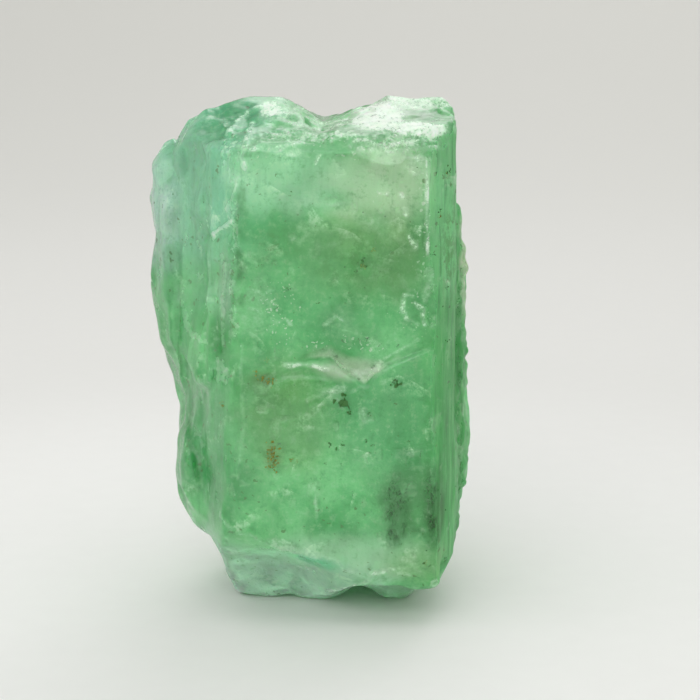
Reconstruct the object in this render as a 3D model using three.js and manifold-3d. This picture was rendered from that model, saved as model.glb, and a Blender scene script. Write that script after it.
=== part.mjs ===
// A raw emerald crystal: one stubby six-sided prism with smaller crystals grown on its sides.
// Both ends are broken. The upper end is a saddle between two peaks, and the lower end is a
// cluster of lobes whose undersides were parted flat, so that the stone stands by itself.
//
// Lengths are millimetres. +Z is the prism's long axis, the broad prism face looks along -Y,
// and the origin is the middle of the bounding box's bottom face.

import * as THREE from 'three';
import { ConvexGeometry } from 'three/addons/geometries/ConvexGeometry.js';
import { mergeVertices } from 'three/addons/utils/BufferGeometryUtils.js';
import Module from 'manifold-3d';

// ---------------------------------------------------------------- driving dimensions

const WIDTH = 10.1;   // across the broad face and both side growths
const DEPTH = 8.4;    // from the broad face to the growths at the back
const HEIGHT = 15.8;  // from the parted underside to the higher peak

const COLOUR = 0x69af75;
const ROUGHNESS = 0.35;

const REACH = 30;           // size of a block that cuts away all that lies past a plane
const CHIP_DETAIL = 5;      // how finely the ball that bites a flake is divided
const HOLLOW_DETAIL = 6;    // the same for the big shell-shaped hollows
const WELD_DISTANCE = 1e-4; // vertices nearer than this are one vertex

// ---------------------------------------------------------------- solids and cuts

const wasm = await Module();
wasm.setup();

// A place in the stone, as shares of its half width, half depth and height.
function at(across, deep, up) {
  return new THREE.Vector3(across * WIDTH / 2, deep * DEPTH / 2, up * HEIGHT);
}

// Turns a closed three.js geometry into a solid that can be joined and cut.
function solidFrom(geometry) {
  const bare = geometry.clone();
  bare.deleteAttribute('normal');
  bare.deleteAttribute('uv');
  const welded = mergeVertices(bare, WELD_DISTANCE);
  return new wasm.Manifold(new wasm.Mesh({
    numProp: 3,
    vertProperties: welded.attributes.position.array,
    triVerts: new Uint32Array(welded.index.array),
  }));
}

// The tightest convex lump around a list of places.
function lump(places) {
  return solidFrom(new ConvexGeometry(places.map((place) => at(...place))));
}

// A block that fills everything on the far side of a plane.
function beyond(place, facing) {
  const block = new THREE.BoxGeometry(REACH, REACH, REACH);
  block.translate(0, 0, REACH / 2);
  const outward = new THREE.Vector3(...facing).normalize();
  const turn = new THREE.Quaternion().setFromUnitVectors(new THREE.Vector3(0, 0, 1), outward);
  block.applyQuaternion(turn);
  const point = at(...place);
  block.translate(point.x, point.y, point.z);
  return solidFrom(block);
}

// A ball-like body with its own radius along each axis, for shell-shaped hollows.
function hollow(place, radii) {
  const ball = new THREE.IcosahedronGeometry(1, HOLLOW_DETAIL);
  ball.scale(...radii);
  const middle = at(...place);
  ball.translate(middle.x, middle.y, middle.z);
  return solidFrom(ball);
}

// The ball that takes a shallow flake off the surface: it stays outside but for its bite.
function chip(place, facing, radius, bite, tallness) {
  const outward = new THREE.Vector3(...facing).normalize();
  const middle = at(...place).addScaledVector(outward, radius - bite);
  const ball = new THREE.IcosahedronGeometry(radius, CHIP_DETAIL);
  ball.scale(1, 1, tallness);
  ball.translate(middle.x, middle.y, middle.z);
  return solidFrom(ball);
}

// ---------------------------------------------------------------- the grown masses

// The main prism. Its left edge leans outwards a little towards the bottom.
const mainPrism = lump([
  [-0.33, -0.97, 1.02], [0.71, -1.00, 1.02], [0.90, -0.60, 1.02], [0.91, 0.30, 1.02],
  [0.56, 0.80, 1.02], [-0.05, 0.90, 1.02], [-0.58, 0.78, 1.02], [-0.78, 0.30, 1.02],
  [-0.76, -0.14, 1.02], [-0.57, -0.57, 1.02],
  [-0.46, -0.93, 0.18], [0.79, -0.97, 0.09], [0.91, -0.56, 0.12], [0.93, 0.28, 0.15],
  [0.58, 0.80, 0.10], [-0.05, 0.90, 0.08], [-0.58, 0.80, 0.17], [-0.80, 0.33, 0.20],
  [-0.81, -0.12, 0.21], [-0.64, -0.48, 0.19],
  [-0.48, -0.42, -0.02], [0.10, -0.50, -0.02], [0.68, -0.46, -0.02], [0.70, 0.30, -0.02],
  [0.20, 0.72, -0.02], [-0.40, 0.60, -0.02], [-0.52, 0.10, -0.02],
]);

// Two lumps of a smaller crystal on the left, one above the other.
const leftUpperGrowth = lump([
  [-0.70, -0.10, 0.895], [-0.84, 0.10, 0.910], [-0.74, 0.50, 0.90],
  [-0.97, 0.08, 0.83], [-1.00, 0.30, 0.80], [-0.90, 0.62, 0.82],
  [-0.95, 0.02, 0.74], [-0.97, 0.34, 0.73], [-0.88, 0.66, 0.71],
  [-0.74, -0.22, 0.80], [-0.74, -0.20, 0.70], [-0.40, 0.20, 0.62], [-0.40, 0.60, 0.80],
]);
const leftLowerGrowth = lump([
  [-0.80, -0.24, 0.72], [-0.95, 0.02, 0.73], [-0.93, 0.52, 0.74],
  [-0.99, 0.06, 0.66], [-0.99, 0.16, 0.60], [-0.96, 0.50, 0.62],
  [-0.84, -0.24, 0.60], [-0.90, 0.04, 0.50], [-0.91, 0.42, 0.47],
  [-0.80, -0.12, 0.40], [-0.79, 0.30, 0.36], [-0.40, 0.10, 0.42], [-0.40, 0.60, 0.74],
]);

// A thin rib that stands on the left flank, next to the broad face.
const leftRib = lump([
  [-0.58, -0.64, 0.66], [-0.68, -0.44, 0.67], [-0.71, -0.40, 0.60], [-0.52, -0.74, 0.58],
  [-0.66, -0.60, 0.47], [-0.74, -0.42, 0.47], [-0.55, -0.74, 0.485], [-0.62, -0.52, 0.44],
  [-0.45, -0.40, 0.48], [-0.45, -0.40, 0.66],
]);

// The low rounded lobe under the left flank.
const leftLowLobe = lump([
  [-0.76, -0.34, 0.36], [-0.80, -0.10, 0.38], [-0.79, 0.24, 0.34], [-0.80, -0.20, 0.24],
  [-0.77, -0.38, 0.24], [-0.70, -0.52, 0.30], [-0.66, -0.54, 0.20], [-0.65, -0.32, 0.165],
  [-0.70, 0.10, 0.17], [-0.40, -0.30, 0.14], [-0.40, 0.20, 0.36],
]);

// The pale crystal that runs down the back of the right flank.
const rightGrowth = lump([
  [0.88, -0.14, 0.795], [0.95, 0.10, 0.785], [0.84, 0.46, 0.80],
  [0.985, 0.05, 0.70], [0.99, 0.26, 0.60], [0.93, 0.50, 0.62],
  [0.975, -0.12, 0.50], [1.00, 0.02, 0.42], [1.01, 0.16, 0.33], [0.95, 0.44, 0.30],
  [0.96, -0.20, 0.22], [0.95, -0.24, 0.15], [0.95, 0.06, 0.15], [0.82, 0.36, 0.12],
  [0.70, 0.10, 0.11],
  [0.60, 0.30, 0.80],
]);

// Three side-by-side crystals make the back, each ending at its own height.
const backLeftGrowth = lump([
  [-0.80, 0.54, 0.80], [-0.60, 0.88, 0.82], [-0.30, 0.96, 0.86], [-0.20, 0.74, 0.90],
  [-0.62, 0.62, 0.90], [-0.80, 0.52, 0.30], [-0.62, 0.92, 0.24], [-0.28, 0.97, 0.20],
  [-0.44, 0.70, 0.14], [-0.20, 0.60, 0.16], [-0.60, 0.50, 0.18],
]);
const backMiddleGrowth = lump([
  [-0.32, 0.88, 0.93], [0.02, 1.00, 0.91], [0.28, 0.94, 0.90], [0.34, 0.60, 0.96],
  [0.00, 0.74, 0.97], [-0.34, 0.90, 0.10], [0.02, 1.00, 0.12], [0.32, 0.95, 0.10],
  [-0.02, 0.84, 0.03], [0.30, 0.50, 0.05], [-0.30, 0.50, 0.97], [-0.30, 0.50, 0.05],
]);
const backRightGrowth = lump([
  [0.26, 0.86, 0.76], [0.52, 0.96, 0.74], [0.80, 0.68, 0.77], [0.90, 0.36, 0.80],
  [0.58, 0.66, 0.84], [0.26, 0.88, 0.15], [0.54, 0.97, 0.21], [0.84, 0.68, 0.24],
  [0.92, 0.38, 0.20], [0.62, 0.72, 0.12], [0.40, 0.40, 0.83], [0.40, 0.40, 0.12],
]);

const masses = [
  mainPrism, leftUpperGrowth, leftLowerGrowth, leftRib, leftLowLobe, rightGrowth,
  backLeftGrowth, backMiddleGrowth, backRightGrowth,
];

// ---------------------------------------------------------------- the broken faces

// Flat breaks: everything past each plane is gone.
const flatBreaks = [
  beyond([0.60, 0.10, 1.000], [-0.04, -0.19, 1.00]),   // upper end, leaning to the front
  beyond([0.30, 0.22, 1.000], [0.04, 0.34, 1.00]),     // upper end, falling away behind
  beyond([-0.62, -0.06, 0.966], [-0.52, -0.34, 0.84]), // smooth bevel at the upper left
  beyond([-0.60, 0.14, 0.972], [-0.46, 0.40, 0.86]),   // its neighbour behind
  beyond([-0.76, 0.00, 0.930], [-0.88, -0.10, 0.50]),  // the steep corner below both
  beyond([0.93, 0.00, 0.966], [0.80, 0.10, 0.62]),     // narrow bevel at the upper right
  beyond([0.72, -0.80, 0.950], [0.36, -0.52, 0.76]),   // small corner over the right edge
  beyond([0.20, -0.99, 0.920], [0.03, -0.66, 0.76]),   // sugary bevel over the broad face
  beyond([-0.16, -0.33, 0.000], [-0.24, -0.70, -0.67]), // fracture under the broad face, left
  beyond([0.79, -0.93, 0.088], [0.00, -0.48, -0.88]),  // the same on the right, less steep
  beyond([0.92, -0.50, 0.105], [0.78, -0.16, -0.60]),  // fracture under the right flank
  beyond([0.00, 0.90, 0.060], [0.10, 0.70, -0.70]),    // fracture under the back
  beyond([0.20, 0.00, 0.000], [0.00, 0.00, -1.00]),    // parted underside, flat to stand on
];

// The saddle between the two peaks: two slopes that meet in a shallow valley.
const saddle = lump([
  [0.07, -1.20, 0.944], [0.11, 1.20, 0.948], [-0.40, -1.20, 1.040], [-0.34, 1.20, 1.050],
  [0.80, -1.20, 1.030], [0.66, 1.20, 1.060], [0.20, -1.20, 1.100], [0.20, 1.20, 1.100],
]);

// The notch under the left lobe, which leaves the foot set back behind it.
const leftNotch = lump([
  [-0.51, -1.20, -0.10], [-0.48, 1.20, -0.10], [-0.50, -1.20, 0.080], [-0.48, 1.20, 0.070],
  [-0.54, -1.20, 0.138], [-0.54, 1.20, 0.124], [-0.64, -1.20, 0.160], [-0.68, 1.20, 0.150],
  [-1.30, -1.20, 0.178], [-1.30, 1.20, 0.170], [-1.30, -1.20, -0.10], [-1.30, 1.20, -0.10],
]);

// Shell-shaped hollows: the middle as shares of the size, and the radii in millimetres.
const hollows = [
  hollow([0.40, -0.50, -0.122], [1.60, 3.60, 2.20]), // arch between the two feet
  hollow([0.40, -0.42, 1.125], [2.60, 2.90, 2.20]),  // glossy shell on the right peak
  hollow([0.02, -0.92, 1.020], [1.70, 1.50, 1.35]),  // shell at the front of the valley
  hollow([-1.00, 1.14, 1.060], [3.40, 3.40, 3.80]),  // big shell break at the back
  hollow([0.30, 1.42, 0.560], [2.60, 2.05, 3.20]),   // shallow shell on the back face
];

// Flakes off the edges: the place, the way it faces, the ball's radius, how deep it bites
// (both in millimetres), and how much taller than wide the flake is.
const chips = [
  chip([-0.35, -0.96, 0.865], [-0.50, -0.80, 0.20], 2.0, 0.15, 1.2),
  chip([-0.38, -0.96, 0.720], [-0.60, -0.80, 0.00], 1.8, 0.12, 2.0),
  chip([-0.40, -0.95, 0.560], [-0.50, -0.85, 0.00], 2.4, 0.12, 1.8),
  chip([-0.43, -0.94, 0.380], [-0.60, -0.75, 0.00], 2.0, 0.14, 1.8),
  chip([-0.45, -0.93, 0.235], [-0.40, -0.90, -0.10], 2.2, 0.18, 1.0),
  chip([0.74, -0.99, 0.640], [0.70, -0.70, 0.00], 2.2, 0.08, 2.4),
  chip([0.76, -0.98, 0.320], [0.60, -0.80, 0.00], 2.4, 0.08, 2.2),
  chip([0.86, -0.76, 0.118], [0.70, -0.40, -0.40], 0.7, 0.26, 1.0),
  chip([0.62, -0.98, 0.108], [0.00, -0.60, -0.80], 1.6, 0.14, 1.0),
  chip([0.56, -0.84, 0.950], [0.10, -0.50, 0.85], 2.0, 0.10, 1.0),
  chip([-0.44, -0.60, 0.955], [-0.30, -0.60, 0.75], 1.8, 0.12, 1.0),
  chip([0.80, -0.30, 0.985], [0.30, -0.20, 0.90], 1.8, 0.14, 1.0),
  chip([0.97, 0.02, 0.750], [1.00, -0.30, 0.10], 3.0, 0.12, 1.0),
  chip([1.00, 0.00, 0.590], [1.00, -0.20, 0.00], 1.8, 0.12, 1.2),
  chip([1.00, 0.00, 0.380], [1.00, -0.30, 0.00], 2.0, 0.10, 1.4),
  chip([0.97, 0.00, 0.205], [1.00, -0.30, -0.20], 2.4, 0.12, 1.0),
  chip([-0.98, 0.10, 0.736], [-1.00, -0.20, 0.00], 1.0, 0.16, 0.8),
  chip([-0.90, -0.10, 0.560], [-0.90, -0.60, 0.00], 1.8, 0.14, 1.5),
  chip([-0.79, -0.26, 0.420], [-0.80, -0.60, 0.00], 2.4, 0.12, 1.4),
  chip([-0.70, -0.50, 0.250], [-0.70, -0.60, -0.30], 1.6, 0.14, 1.0),
  chip([-0.72, -0.30, 0.700], [-0.70, -0.70, 0.00], 2.2, 0.16, 2.0),
  chip([-0.74, -0.22, 0.880], [-0.70, -0.70, 0.10], 2.0, 0.12, 1.2),
  chip([0.02, 1.00, 0.760], [0.00, 1.00, 0.00], 2.4, 0.14, 1.6),
  chip([-0.30, 0.96, 0.480], [-0.30, 1.00, 0.00], 2.6, 0.18, 1.8),
  chip([0.10, 0.98, 0.250], [0.30, 1.00, -0.20], 2.4, 0.20, 1.3),
  chip([0.84, 0.62, 0.480], [0.80, 0.60, 0.00], 2.6, 0.18, 1.8),
  chip([0.70, 0.84, 0.300], [0.60, 0.80, 0.00], 2.2, 0.16, 1.2),
  chip([-0.80, 0.66, 0.400], [-0.80, 0.60, 0.00], 2.4, 0.20, 1.5),
  chip([-0.94, 0.52, 0.580], [-0.90, 0.50, 0.20], 1.8, 0.16, 1.2),
  chip([-0.24, 0.90, 0.920], [-0.30, 0.70, 0.60], 4.0, 0.26, 1.0),
  chip([0.34, 0.80, 0.900], [0.50, 0.60, 0.50], 4.4, 0.30, 1.0),
  chip([-0.46, 0.84, 0.180], [-0.40, 0.80, -0.40], 3.6, 0.30, 1.0),
  chip([-0.12, -0.62, 0.082], [-0.24, -0.70, -0.67], 4.0, 0.36, 1.0),
  chip([0.42, -0.62, 0.045], [0.10, -0.50, -0.86], 3.0, 0.24, 1.0),
];

// The ledge that crosses the broad face. Above its wavy lip a shallow flake came off: it is
// deepest close over the lip and fades out upwards and at both ends. Each station across the
// face holds its place, the lip's height, how deep the flake goes and where it fades out.
const FACE = -0.985;      // the broad face's place, as a share of the half depth
const AIR = -1.15;        // clear of the face, in front of it
const LIP_RISE = 0.014;   // from the lip up to the deepest line, as a share of the height
const ledgeStations = [
  { across: -0.48, lip: 0.498, bite: -0.010, fade: 0.540 },
  { across: -0.20, lip: 0.508, bite: 0.030, fade: 0.600 },
  { across: 0.04, lip: 0.524, bite: 0.060, fade: 0.660 },
  { across: 0.18, lip: 0.516, bite: 0.080, fade: 0.680 },
  { across: 0.28, lip: 0.497, bite: 0.075, fade: 0.670 },
  { across: 0.40, lip: 0.502, bite: 0.055, fade: 0.640 },
  { across: 0.52, lip: 0.522, bite: 0.040, fade: 0.640 },
  { across: 0.70, lip: 0.545, bite: 0.035, fade: 0.650 },
  { across: 0.90, lip: 0.560, bite: 0.010, fade: 0.640 },
];

// A closed body through a row of outlines that all have the same number of places.
function loft(outlines) {
  const corners = outlines[0].length;
  const positions = outlines.flat().flatMap((place) => at(...place).toArray());
  const faces = [];
  for (let row = 0; row + 1 < outlines.length; row += 1) {
    for (let corner = 0; corner < corners; corner += 1) {
      const here = row * corners + corner;
      const next = row * corners + (corner + 1) % corners;
      faces.push(here, next + corners, next, here, here + corners, next + corners);
    }
  }
  const last = (outlines.length - 1) * corners;
  for (let corner = 1; corner + 1 < corners; corner += 1) {
    faces.push(0, corner, corner + 1);
    faces.push(last, last + corner + 1, last + corner);
  }
  const geometry = new THREE.BufferGeometry();
  geometry.setAttribute('position', new THREE.Float32BufferAttribute(positions, 3));
  geometry.setIndex(faces);
  return solidFrom(geometry);
}

const flake = loft(ledgeStations.map(({ across, lip, bite, fade }) => [
  [across, FACE, lip],
  [across, AIR, lip],
  [across, AIR, fade],
  [across, FACE, fade],
  [across, FACE + bite, lip + LIP_RISE],
]));

// ---------------------------------------------------------------- the finished stone

let stone = masses.reduce((whole, mass) => whole.add(mass));
for (const cut of [...flatBreaks, saddle, leftNotch, ...hollows, ...chips, flake]) {
  stone = stone.subtract(cut);
}

// Puts the middle of the bounding box's bottom face on the origin.
function standOnOrigin(geometry) {
  geometry.computeBoundingBox();
  const box = geometry.boundingBox;
  const middle = box.getCenter(new THREE.Vector3());
  geometry.translate(-middle.x, -middle.y, -box.min.z);
}

const { vertProperties, triVerts } = stone.getMesh();
const crystalGeometry = new THREE.BufferGeometry();
crystalGeometry.setAttribute('position', new THREE.BufferAttribute(vertProperties, 3));
crystalGeometry.setIndex(new THREE.BufferAttribute(triVerts, 1));
standOnOrigin(crystalGeometry);
crystalGeometry.computeVertexNormals();

const emerald = new THREE.MeshStandardMaterial({
  color: COLOUR,
  roughness: ROUGHNESS,
  metalness: 0,
  flatShading: true,
});

const crystal = new THREE.Mesh(crystalGeometry, emerald);
crystal.name = 'crystal';

const specimen = new THREE.Group();
specimen.add(crystal);

export default specimen;
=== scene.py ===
# %% [markdown]
# # A raw emerald crystal
#
# The real stone is a stubby prism of beryl, about as long as a finger nail is wide, and a
# trace of chromium colours it green. Smaller crystals grew on its sides, and both of its ends
# are broken. The frame that is loaded here is the measured block of it: it fixes how large
# the stone is and where it stands. This script adds the worn skin, the milky green body, the
# grains sealed in it and the light.

# %% Load the frame
import math

import bmesh
import bpy
import numpy as np
from mathutils import Matrix, Vector, kdtree
from mathutils.bvhtree import BVHTree


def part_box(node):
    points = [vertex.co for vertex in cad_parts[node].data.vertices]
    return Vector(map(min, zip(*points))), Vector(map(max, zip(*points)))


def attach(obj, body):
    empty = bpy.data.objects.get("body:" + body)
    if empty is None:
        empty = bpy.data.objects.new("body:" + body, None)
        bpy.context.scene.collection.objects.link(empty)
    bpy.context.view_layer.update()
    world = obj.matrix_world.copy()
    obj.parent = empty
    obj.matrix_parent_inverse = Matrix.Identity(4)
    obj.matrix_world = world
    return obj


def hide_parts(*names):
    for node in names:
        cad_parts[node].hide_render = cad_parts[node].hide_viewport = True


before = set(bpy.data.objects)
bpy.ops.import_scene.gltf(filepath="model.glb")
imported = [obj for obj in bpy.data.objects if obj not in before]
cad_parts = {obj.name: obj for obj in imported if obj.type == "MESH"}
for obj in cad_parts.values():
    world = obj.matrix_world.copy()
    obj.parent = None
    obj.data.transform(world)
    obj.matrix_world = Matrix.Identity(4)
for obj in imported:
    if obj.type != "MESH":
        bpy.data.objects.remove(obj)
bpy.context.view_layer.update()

low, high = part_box("crystal")
size = high - low
print("the block is", [round(side * 1000, 2) for side in size], "mm")

# %% [markdown]
# ## Places in the stone
#
# A place could be written in metres, but a share of the stone's own box is easier to think
# in: `across` and `deep` run from -1 to 1 and `up` from 0 at the underside to 1 at the top.
# Blender's voxel tools refuse steps under a tenth of a millimetre, so the stone is worked
# on a thousand times enlarged, where one unit is one millimetre, and shrunk at the end.

# %% Places
ENLARGED = 1000
WIDTH, DEPTH, HEIGHT = (side * ENLARGED for side in size)


def at(across, deep, up):
    """A place on the enlarged stone, from shares of its half width, half depth and height."""
    return np.array((across * WIDTH / 2, deep * DEPTH / 2, up * HEIGHT))


def real(place):
    """The same place on the real stone, in metres."""
    return Vector(place) / ENLARGED


print("the middle of the stone is", real(at(0, 0, 0.5)))

# %% [markdown]
# ## The camera
#
# A stone this small is looked at through a long lens from close by. The lens is aimed a
# little right of the stone's middle, and looks down on it by 12 degrees. Its length and the
# width of its sensor are in millimetres, as is usual for cameras.

# %% Camera
CAMERA_REACH = 0.06
CAMERA_LIFT = math.radians(12)
LENS = 97.3
SENSOR = 36
camera_aim = real(at(0.266, 0, 0.4965))
camera_away = Vector((0, -math.cos(CAMERA_LIFT), math.sin(CAMERA_LIFT)))

camera = bpy.data.objects.new("camera", bpy.data.cameras.new("camera"))
bpy.context.scene.collection.objects.link(camera)
camera.location = camera_aim + camera_away * CAMERA_REACH
camera.rotation_euler = (-camera_away).to_track_quat("-Z", "Y").to_euler()
camera.data.lens = LENS
camera.data.sensor_width = SENSOR
camera.data.clip_start = 0.002
camera.data.clip_end = 5
bpy.context.scene.camera = camera
print("the camera stands at", camera.location)

# %% [markdown]
# ## Joining nodes by sums
#
# A material in Blender is a tree of nodes. Wiring it by hand takes three lines for each
# plus sign, so one small class wraps an output socket and lets Python's own signs do it:
# `1 - mask` adds a Math node set to subtract. Every other node comes from `Wire.node`, which
# is given the node's settings first, and then its sockets, as values or as wires.

# %% A socket that can be used in sums
class Wire:
    """One output socket. Sums on it add Math nodes to its tree."""

    def __init__(self, socket):
        self.socket = socket
        self.tree = socket.id_data

    @staticmethod
    def node(tree, kind, settings=None, sockets=None, out=0):
        """A new node, its name said without "ShaderNode", with settings and filled sockets."""
        made = tree.nodes.new("ShaderNode" + kind)
        for name, value in (settings or {}).items():
            setattr(made, name, value)
        for name, value in (sockets or {}).items():
            if isinstance(value, Wire):
                tree.links.new(made.inputs[name], value.socket)
            else:
                made.inputs[name].default_value = value
        return Wire(made.outputs[out])

    def maths(self, operation, first, second):
        return Wire.node(self.tree, "Math", {"operation": operation},
                         {0: first, 1: second})

    def __add__(self, other):
        return self.maths("ADD", self, other)

    def __sub__(self, other):
        return self.maths("SUBTRACT", self, other)

    def __rsub__(self, other):
        return self.maths("SUBTRACT", other, self)

    def __mul__(self, other):
        return self.maths("MULTIPLY", self, other)

    def __truediv__(self, other):
        return self.maths("DIVIDE", self, other)

    __radd__ = __add__
    __rmul__ = __mul__

    def also(self, out):
        """Another output of the node that this one comes from."""
        return Wire(self.socket.node.outputs[out])

    def above(self, start, full):
        """0 below `start`, 1 past `full`, and a smooth climb between them."""
        settings = {"interpolation_type": "SMOOTHSTEP"}
        return Wire.node(self.tree, "MapRange", settings,
                         {"Value": self, "From Min": start, "From Max": full})

    def blend(self, first, second):
        """A colour that goes from `first` to `second` as this wire goes from 0 to 1."""
        return Wire.node(self.tree, "Mix", {"data_type": "RGBA"},
                         {0: self, 6: first, 7: second}, out=2)

    def stretched(self, shares):
        """This wire as a vector, with each of its parts times its own number."""
        return Wire.node(self.tree, "VectorMath", {"operation": "MULTIPLY"},
                         {0: self, 1: shares})


def colour(red, green, blue):
    """A colour read off a paint chart in 0 to 255, as the linear light that a shader needs."""
    shares = [part / 255 for part in (red, green, blue)]
    light = [s / 12.92 if s <= 0.04045 else ((s + 0.055) / 1.055) ** 2.4 for s in shares]
    return (*light, 1)


def new_material(name):
    """An empty material, its tree and its output node's own sockets."""
    material = bpy.data.materials.new(name)
    material.use_nodes = True
    material.node_tree.nodes.clear()
    ending = material.node_tree.nodes.new("ShaderNodeOutputMaterial")
    return material, material.node_tree, ending


# %% [markdown]
# ## The floor and the light
#
# The stone stands on a wide pale sheet whose rim curves up all round, like the paper sweep
# in a studio, so that no edge of it shows from any side. Large soft lights stand round it.
# The strongest is in front, and one is behind and above, because a milky stone glows when
# light comes through it.

# %% Pale floor
FLAT_RADIUS = 0.09
RIM_RADIUS = 0.4
RIM_RISE = 0.3


def floor_height(radius):
    """Flat in the middle, then an even curve up to the rim."""
    climb = max(0, (radius - FLAT_RADIUS) / (RIM_RADIUS - FLAT_RADIUS))
    return RIM_RISE * climb ** 2


def make_floor():
    rings = 40
    turns = 96
    points = []
    for ring in range(1, rings + 1):
        radius = RIM_RADIUS * ring / rings
        for turn in range(turns):
            angle = 2 * math.pi * turn / turns
            points.append((radius * math.cos(angle), radius * math.sin(angle),
                           floor_height(radius)))
    faces = [tuple(range(turns))]
    for corner in range(turns * (rings - 1)):
        after = corner + 1 if (corner + 1) % turns else corner + 1 - turns
        faces.append((corner, corner + turns, after + turns, after))
    mesh = bpy.data.meshes.new("floor")
    mesh.from_pydata(points, [], faces)
    mesh.polygons.foreach_set("use_smooth", [True] * len(faces))
    return bpy.data.objects.new("floor", mesh)


floor = make_floor()
bpy.context.scene.collection.objects.link(floor)
paper, tree, ending = new_material("pale_paper")
middle = Wire.node(tree, "TexCoord", out="Object")
radius = Wire.node(tree, "VectorMath", {"operation": "LENGTH"}, {0: middle}, out="Value")
mottle = Wire.node(tree, "TexNoise", None, {"Scale": 900, "Detail": 3})
tone = mottle.blend(colour(238, 237, 236), colour(241, 240, 239))
# Painted shade: the sheet is painted darker the farther it lies from the stone, towards its rim.
tone = (radius.above(0.015, 0.035) * 0.3).blend(tone, colour(207, 206, 202))
tone = radius.above(0.0, 0.17).blend(tone, colour(207, 206, 202))
paper_shader = Wire.node(tree, "BsdfPrincipled", None,
                         {"Base Color": tone, "Roughness": 0.9})
tree.links.new(ending.inputs["Surface"], paper_shader.socket)
floor.data.materials.append(paper)
print("the floor is", round(RIM_RADIUS * 2, 2), "m across")

# %% Soft lights
bpy.context.scene.view_settings.view_transform = "Standard"


def soft_light(name, side, lift, away, width, power):
    """A square light, turned `side` degrees round the stone from the front, looking at it."""
    lamp = bpy.data.lights.new(name, "AREA")
    lamp.shape = "SQUARE"
    lamp.size = width
    lamp.energy = power
    holder = bpy.data.objects.new(name, lamp)
    turn = math.radians(side)
    rise = math.radians(lift)
    way = Vector((math.sin(turn) * math.cos(rise), -math.cos(turn) * math.cos(rise),
                  math.sin(rise)))
    holder.location = real(at(0, 0, 0.5)) + way * away
    holder.rotation_euler = (-way).to_track_quat("-Z", "Y").to_euler()
    bpy.context.scene.collection.objects.link(holder)
    print(name, "gives", power, "W from", away, "m away")


soft_light("back_light", 165, 40, 0.24, 0.16, 0.13)
soft_light("left_light", -65, 35, 0.26, 0.2, 0.07)
soft_light("top_light", 0, 86, 0.22, 0.2, 0.115)
soft_light("front_light", -14, 26, 0.3, 0.24, 0.39)

world = bpy.data.worlds.new("room")
world.use_nodes = True
world.node_tree.nodes["Background"].inputs["Color"].default_value = colour(226, 228, 225)
world.node_tree.nodes["Background"].inputs["Strength"].default_value = 0.73
bpy.context.scene.world = world

# %% [markdown]
# ## The stone's skin
#
# The block has the stone's facets, but a natural crystal has no clean edge left on it. A
# bump map could only shade the edges, and would not show at the outline. So the block is
# copied, cut into fine voxels, and every point of it is then moved by small sculpting steps:
# low hills, growth lines, shell-shaped flakes and sugary breaks. The last step thins the
# mesh out where it is flat.

# %% A fine copy of the block
VOXEL = 0.048


def keep_modifier(piece, kind, **settings):
    """Adds a modifier and makes its result the piece's own mesh."""
    modifier = piece.modifiers.new("work", kind)
    for name, value in settings.items():
        setattr(modifier, name, value)
    scene_state = bpy.context.evaluated_depsgraph_get()
    result = bpy.data.meshes.new_from_object(piece.evaluated_get(scene_state))
    piece.modifiers.clear()
    worn_out = piece.data
    piece.data = result
    bpy.data.meshes.remove(worn_out)


stone = bpy.data.objects.new("emerald_crystal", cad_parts["crystal"].data.copy())
bpy.context.scene.collection.objects.link(stone)
stone.data.materials.clear()
for vertex in stone.data.vertices:
    vertex.co *= ENLARGED
block = bmesh.new()
block.from_mesh(stone.data)
bmesh.ops.remove_doubles(block, verts=block.verts, dist=1e-4)
block.to_mesh(stone.data)
keep_modifier(stone, "REMESH", mode="VOXEL", voxel_size=VOXEL, use_smooth_shade=True)
print("the fine copy has", len(stone.data.vertices), "points")


# %% Arrays to sculpt on
def points_of(mesh):
    flat = np.empty(len(mesh.vertices) * 3)
    mesh.vertices.foreach_get("co", flat)
    return flat.reshape(-1, 3)


def facings_of(mesh):
    """Which way the surface looks at each point."""
    flat = np.empty(len(mesh.vertices) * 3)
    mesh.vertex_normals.foreach_get("vector", flat)
    return flat.reshape(-1, 3)


def put_points(mesh, points):
    mesh.vertices.foreach_set("co", points.ravel())
    mesh.update()


skin = points_of(stone.data)
facing = facings_of(stone.data)
# White of crushed crystal, together with painted highlight on crests, sugar grains and the shelf.
frost_and_highlight = np.zeros(len(skin))
print("the skin runs from", skin.min(0).round(2), "to", skin.max(0).round(2), "mm")


# %% Noise for sculpting
def wander(points, lump, seed):
    """Smooth noise from about -1 to 1, in lumps of the size `lump`, one number or three."""
    cells = points / lump + seed * 31.7
    corner = np.floor(cells).astype(np.int64)
    part = cells - corner
    part = part * part * (3 - 2 * part)
    total = np.zeros(len(points))
    for step in np.ndindex(2, 2, 2):
        key = ((corner + step) * (73856093, 19349663, 83492791)).sum(1)
        key = ((key ^ (key >> 13)) * 1274126177) & 0x7FFFFFFF
        key = ((key ^ (key >> 15)) * 2246822519) & 0x7FFFFFFF
        weight = np.prod(np.where(step, part, 1 - part), axis=1)
        total += weight * (key / 0x3FFFFFFF - 1)
    return total


def ramp(values, start, full):
    """0 below `start`, 1 past `full`, and a smooth climb between them."""
    share = np.clip((values - start) / (full - start), 0, 1)
    return share * share * (3 - 2 * share)


def zone(points, place, reach, edge=0.4):
    """1 inside an egg-shaped zone round a place and 0 outside; its edge wanders."""
    away = np.linalg.norm((points - at(*place)) / reach, axis=1)
    away = away + 0.22 * wander(points, 0.5, 5)
    return ramp(away, 1 + edge, 1 - edge)


def strongest(points, zones, edge):
    """The largest share that any one of the zones has at each point."""
    return np.max([zone(points, place, reach, edge) for place, reach in zones], axis=0)


sample = wander(skin, 1.0, 1)
print("noise runs from", round(sample.min(), 2), "to", round(sample.max(), 2))

# %% [markdown]
# ### Worn smooth
#
# The side growths on the left and the lobes underneath have no facets left: they look like
# melted ice. Averaging every point with its neighbours again and again does that. Elsewhere
# three rounds only take off the marks of the voxels.

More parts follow.
